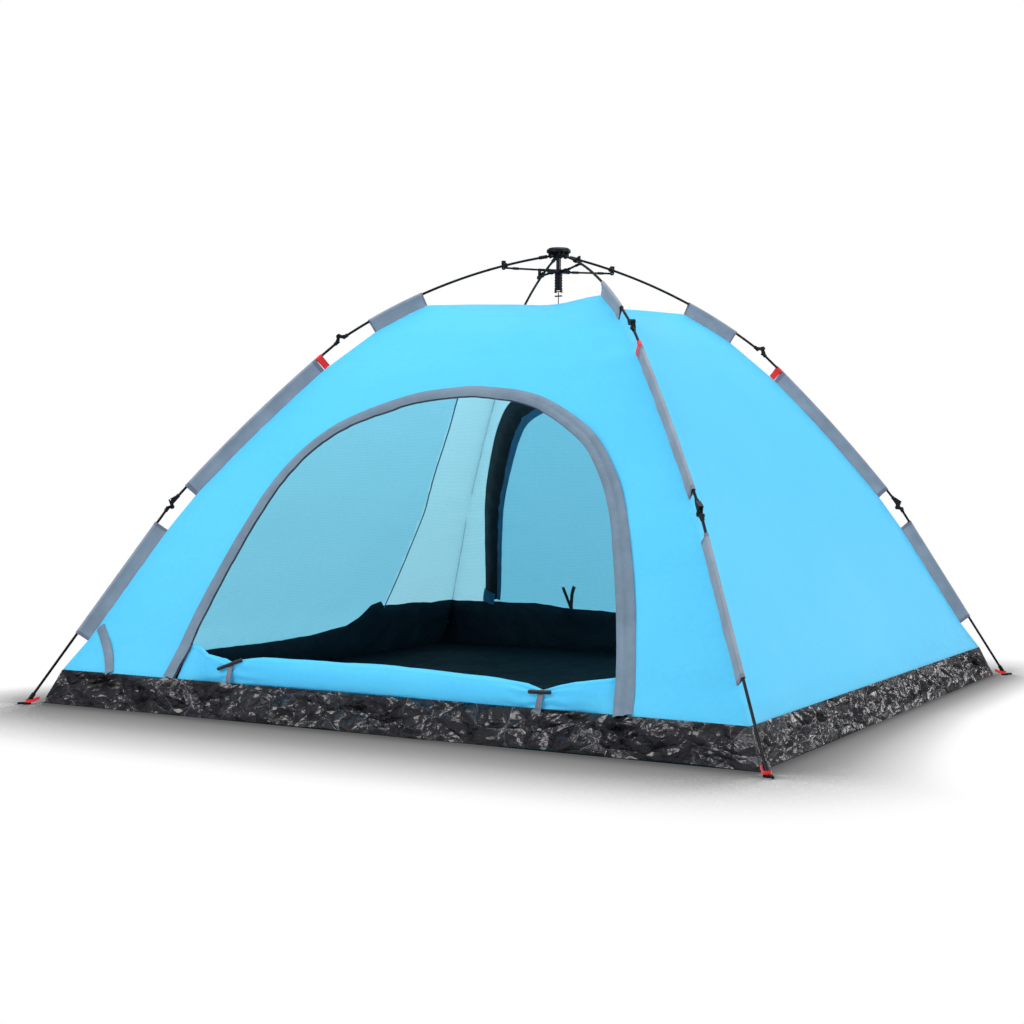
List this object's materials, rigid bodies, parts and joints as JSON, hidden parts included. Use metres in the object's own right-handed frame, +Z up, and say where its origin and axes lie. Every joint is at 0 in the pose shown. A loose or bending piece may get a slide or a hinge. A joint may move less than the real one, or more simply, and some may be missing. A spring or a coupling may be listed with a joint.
{
  "type": "pop up tent",
  "caption": "Square pop up camping tent on a folding hub frame with jointed legs, sleeved poles, a D shaped door rolled down onto the sill and a tub groundsheet.",
  "frame": {"origin": "on the ground, directly under the middle of the hub", "axes": "+Z up, the door side faces -Y, +X is to the right of somebody who looks at the door from outside"},
  "size_m": [2.4418, 2.4418, 1.466],
  "materials": {
    "hub_plastic": "satin",
    "tube_metal": "satin",
    "pin_steel": "satin",
    "rod": "satin",
    "cord": "matte",
    "canopy": "satin",
    "sleeve": "matte",
    "trim": "matte",
    "tub": "gloss",
    "floor": "satin",
    "strap": "matte",
    "tie": "matte"
  },
  "bodies": {
    "hub": {"hub_cap": "hub_plastic", "centre_tube": "tube_metal", "hub_pins": "pin_steel", "roof_panel": "canopy", "front_wall": "canopy", "right_wall": "canopy", "back_wall": "canopy", "left_wall": "canopy", "tub_walls": "tub", "ground_sheet": "floor", "door_trim": "trim", "rolled_door": "canopy", "door_ties": "tie", "back_door_zip": "tie", "back_door_ties": "tie", "corner_tape": "trim", "corner_straps": "strap", "pole_tabs": "strap"},
    "runner": {"runner": "hub_plastic", "roof_cord": "cord"},
    "upper_leg_fl": {"upper_pole_fl": "rod", "upper_fittings_fl": "hub_plastic", "upper_sleeve_fl": "sleeve"},
    "middle_leg_fl": {"middle_pole_fl": "rod", "middle_fittings_fl": "hub_plastic", "middle_sleeve_fl": "sleeve"},
    "lower_leg_fl": {"lower_pole_fl": "rod", "lower_fittings_fl": "hub_plastic", "lower_sleeve_fl": "sleeve"},
    "strut_fl": {"strut_fl": "hub_plastic"},
    "upper_leg_fr": {"upper_pole_fr": "rod", "upper_fittings_fr": "hub_plastic", "upper_sleeve_fr": "sleeve"},
    "middle_leg_fr": {"middle_pole_fr": "rod", "middle_fittings_fr": "hub_plastic", "middle_sleeve_fr": "sleeve"},
    "lower_leg_fr": {"lower_pole_fr": "rod", "lower_fittings_fr": "hub_plastic", "lower_sleeve_fr": "sleeve"},
    "strut_fr": {"strut_fr": "hub_plastic"},
    "upper_leg_br": {"upper_pole_br": "rod", "upper_fittings_br": "hub_plastic", "upper_sleeve_br": "sleeve"},
    "middle_leg_br": {"middle_pole_br": "rod", "middle_fittings_br": "hub_plastic", "middle_sleeve_br": "sleeve"},
    "lower_leg_br": {"lower_pole_br": "rod", "lower_fittings_br": "hub_plastic", "lower_sleeve_br": "sleeve"},
    "strut_br": {"strut_br": "hub_plastic"},
    "upper_leg_bl": {"upper_pole_bl": "rod", "upper_fittings_bl": "hub_plastic", "upper_sleeve_bl": "sleeve"},
    "middle_leg_bl": {"middle_pole_bl": "rod", "middle_fittings_bl": "hub_plastic", "middle_sleeve_bl": "sleeve"},
    "lower_leg_bl": {"lower_pole_bl": "rod", "lower_fittings_bl": "hub_plastic", "lower_sleeve_bl": "sleeve"},
    "strut_bl": {"strut_bl": "hub_plastic"}
  },
  "joints": [
    {"name": "leg_fl_fold", "type": "hinge", "parent": "hub", "child": "upper_leg_fl", "pos_m": [-0.01838, -0.01838, 1.44], "axis": [0.7071, -0.7071, 0], "range_deg": [0, 62.9], "deforming": ["roof_panel", "front_wall", "right_wall", "back_wall", "left_wall", "tub_walls", "ground_sheet", "door_trim", "rolled_door", "door_ties", "back_door_zip", "back_door_ties", "corner_tape", "corner_straps", "pole_tabs", "upper_sleeve_fl", "upper_sleeve_fr", "upper_sleeve_br", "upper_sleeve_bl", "middle_sleeve_fl", "middle_sleeve_fr", "middle_sleeve_br", "middle_sleeve_bl", "lower_sleeve_fl", "lower_sleeve_fr", "lower_sleeve_br", "lower_sleeve_bl"]},
    {"name": "upper_elbow_fl", "type": "hinge", "parent": "upper_leg_fl", "child": "middle_leg_fl", "pos_m": [-0.52068, -0.52068, 1.15298], "axis": [-0.7071, 0.7071, 0], "range_deg": [0, 189.61]},
    {"name": "lower_elbow_fl", "type": "hinge", "parent": "middle_leg_fl", "child": "lower_leg_fl", "pos_m": [-0.89111, -0.89111, 0.60605], "axis": [0.7071, -0.7071, 0], "range_deg": [0, 165.91]},
    {"name": "leg_fr_fold", "type": "hinge", "parent": "hub", "child": "upper_leg_fr", "pos_m": [0.01838, -0.01838, 1.44], "axis": [0.7071, 0.7071, 0], "range_deg": [0, 62.91]},
    {"name": "upper_elbow_fr", "type": "hinge", "parent": "upper_leg_fr", "child": "middle_leg_fr", "pos_m": [0.52068, -0.52068, 1.15298], "axis": [-0.7071, -0.7071, 0], "range_deg": [0, 189.61]},
    {"name": "lower_elbow_fr", "type": "hinge", "parent": "middle_leg_fr", "child": "lower_leg_fr", "pos_m": [0.89111, -0.89111, 0.60605], "axis": [0.7071, 0.7071, 0], "range_deg": [0, 165.91]},
    {"name": "leg_br_fold", "type": "hinge", "parent": "hub", "child": "upper_leg_br", "pos_m": [0.01838, 0.01838, 1.44], "axis": [-0.7071, 0.7071, 0], "range_deg": [0, 62.91]},
    {"name": "upper_elbow_br", "type": "hinge", "parent": "upper_leg_br", "child": "middle_leg_br", "pos_m": [0.52068, 0.52068, 1.15298], "axis": [0.7071, -0.7071, 0], "range_deg": [0, 189.61]},
    {"name": "lower_elbow_br", "type": "hinge", "parent": "middle_leg_br", "child": "lower_leg_br", "pos_m": [0.89111, 0.89111, 0.60605], "axis": [-0.7071, 0.7071, 0], "range_deg": [0, 165.91]},
    {"name": "leg_bl_fold", "type": "hinge", "parent": "hub", "child": "upper_leg_bl", "pos_m": [-0.01838, 0.01838, 1.44], "axis": [-0.7071, -0.7071, 0], "range_deg": [0, 62.91]},
    {"name": "upper_elbow_bl", "type": "hinge", "parent": "upper_leg_bl", "child": "middle_leg_bl", "pos_m": [-0.52068, 0.52068, 1.15298], "axis": [0.7071, 0.7071, 0], "range_deg": [0, 189.61]},
    {"name": "lower_elbow_bl", "type": "hinge", "parent": "middle_leg_bl", "child": "lower_leg_bl", "pos_m": [-0.89111, 0.89111, 0.60605], "axis": [-0.7071, -0.7071, 0], "range_deg": [0, 165.91]},
    {"name": "runner_slide", "type": "slide", "parent": "hub", "child": "runner", "axis": [0, 0, 1], "range_m": [0, 0.03122]},
    {"name": "strut_fl_hinge", "type": "hinge", "parent": "runner", "child": "strut_fl", "pos_m": [-0.01732, -0.03924, 1.39], "axis": [0.7071, -0.7071, 0], "range_deg": [0, 83.61]},
    {"name": "strut_fr_hinge", "type": "hinge", "parent": "runner", "child": "strut_fr", "pos_m": [0.03924, -0.01732, 1.39], "axis": [0.7071, 0.7071, 0], "range_deg": [0, 83.61]},
    {"name": "strut_br_hinge", "type": "hinge", "parent": "runner", "child": "strut_br", "pos_m": [0.01732, 0.03924, 1.39], "axis": [-0.7071, 0.7071, 0], "range_deg": [0, 83.61]},
    {"name": "strut_bl_hinge", "type": "hinge", "parent": "runner", "child": "strut_bl", "pos_m": [-0.03924, 0.01732, 1.39], "axis": [-0.7071, -0.7071, 0], "range_deg": [0, 83.61]}
  ],
  "couplings": [
    {"joint": "upper_elbow_fl", "follows": "leg_fl_fold", "ratio": 3.0143},
    {"joint": "lower_elbow_fl", "follows": "leg_fl_fold", "ratio": 2.6375},
    {"joint": "leg_fr_fold", "follows": "leg_fl_fold", "ratio": 1},
    {"joint": "upper_elbow_fr", "follows": "leg_fl_fold", "ratio": 3.0143},
    {"joint": "lower_elbow_fr", "follows": "leg_fl_fold", "ratio": 2.6375},
    {"joint": "leg_br_fold", "follows": "leg_fl_fold", "ratio": 1},
    {"joint": "upper_elbow_br", "follows": "leg_fl_fold", "ratio": 3.0143},
    {"joint": "lower_elbow_br", "follows": "leg_fl_fold", "ratio": 2.6375},
    {"joint": "leg_bl_fold", "follows": "leg_fl_fold", "ratio": 1},
    {"joint": "upper_elbow_bl", "follows": "leg_fl_fold", "ratio": 3.0143},
    {"joint": "lower_elbow_bl", "follows": "leg_fl_fold", "ratio": 2.6375},
    {"joint": "runner_slide", "follows": "leg_fl_fold", "m_per_rad": 0.02842},
    {"joint": "strut_fl_hinge", "follows": "leg_fl_fold", "ratio": 1.3291},
    {"joint": "strut_fr_hinge", "follows": "leg_fl_fold", "ratio": 1.3291},
    {"joint": "strut_br_hinge", "follows": "leg_fl_fold", "ratio": 1.3291},
    {"joint": "strut_bl_hinge", "follows": "leg_fl_fold", "ratio": 1.3291}
  ]
}
